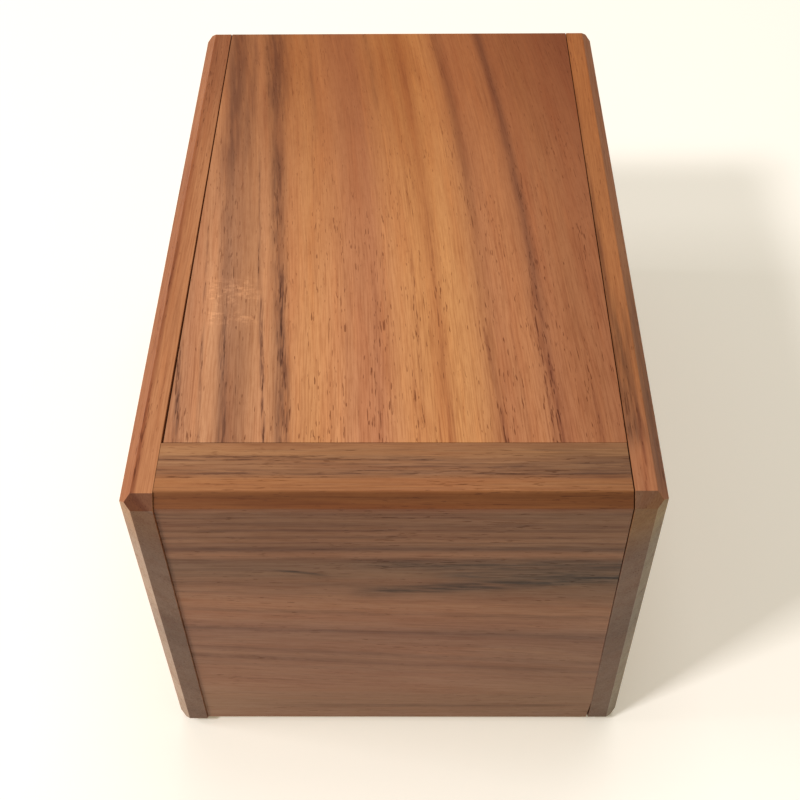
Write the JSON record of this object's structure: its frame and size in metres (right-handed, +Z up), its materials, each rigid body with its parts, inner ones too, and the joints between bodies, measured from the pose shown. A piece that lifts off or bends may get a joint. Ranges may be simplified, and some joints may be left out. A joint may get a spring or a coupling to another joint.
{
  "type": "puzzle box",
  "caption": "Chamfered hardwood puzzle box: the lid slides back and the front board rises between full side panels, and a hidden sliding bar can lock both.",
  "frame": {"origin": "middle of the box's base, on the surface it stands on", "axes": "+Z up, +Y towards the back along the box's length, +X to the right seen from the front"},
  "size_m": [0.099, 0.1528, 0.0838],
  "materials": {
    "left_panel_wood": "oiled satin hardwood, lengthwise grain",
    "right_panel_wood": "oiled satin hardwood, lengthwise grain",
    "lid_wood": "oiled satin hardwood with dark streaks, lengthwise grain",
    "front_wood": "oiled satin hardwood, grain across",
    "back_wood": "oiled satin hardwood, grain across",
    "bottom_wood": "oiled satin hardwood, grain across",
    "inner_wood": "planed hardwood, unfinished",
    "spline_wood": "pale waxed hardwood",
    "dowel_wood": "pale plain dowel",
    "peg_brass": "plain drawn rod"
  },
  "bodies": {
    "carcass": {"left_side_panel": "left_panel_wood", "right_side_panel": "right_panel_wood", "back_board": "back_wood", "bottom_board": "bottom_wood", "inner_front_wall": "inner_wood", "back_dowel_left_lower": "dowel_wood", "back_dowel_left_upper": "dowel_wood", "back_dowel_right_lower": "dowel_wood", "back_dowel_right_upper": "dowel_wood", "bottom_dowel_left_front": "dowel_wood", "bottom_dowel_left_rear": "dowel_wood", "bottom_dowel_right_front": "dowel_wood", "bottom_dowel_right_rear": "dowel_wood", "wall_dowel_left_lower": "dowel_wood", "wall_dowel_left_upper": "dowel_wood", "wall_dowel_right_lower": "dowel_wood", "wall_dowel_right_upper": "dowel_wood", "bar_guide_pin_left": "peg_brass", "bar_guide_pin_right": "peg_brass"},
    "lid": {"lid_board": "lid_wood", "lid_spline_left": "spline_wood", "lid_spline_right": "spline_wood", "lid_cleat": "inner_wood", "cleat_dowel_left": "dowel_wood", "cleat_dowel_right": "dowel_wood"},
    "front": {"front_board": "front_wood", "front_spline_left": "spline_wood", "front_spline_right": "spline_wood"},
    "bar": {"lock_bar": "spline_wood", "lid_lock_peg_left": "peg_brass", "lid_lock_peg_right": "peg_brass", "front_lock_peg": "peg_brass"}
  },
  "joints": [
    {"name": "lid_slide", "type": "slide", "parent": "carcass", "child": "lid", "axis": [0, 1, 0], "range_m": [0, 0.1124]},
    {"name": "front_rise", "type": "slide", "parent": "carcass", "child": "front", "axis": [0, 0, 1], "range_m": [0, 0.012]},
    {"name": "bar_slide", "type": "slide", "parent": "carcass", "child": "bar", "axis": [1, 0, 0], "range_m": [0, 0.006]}
  ]
}
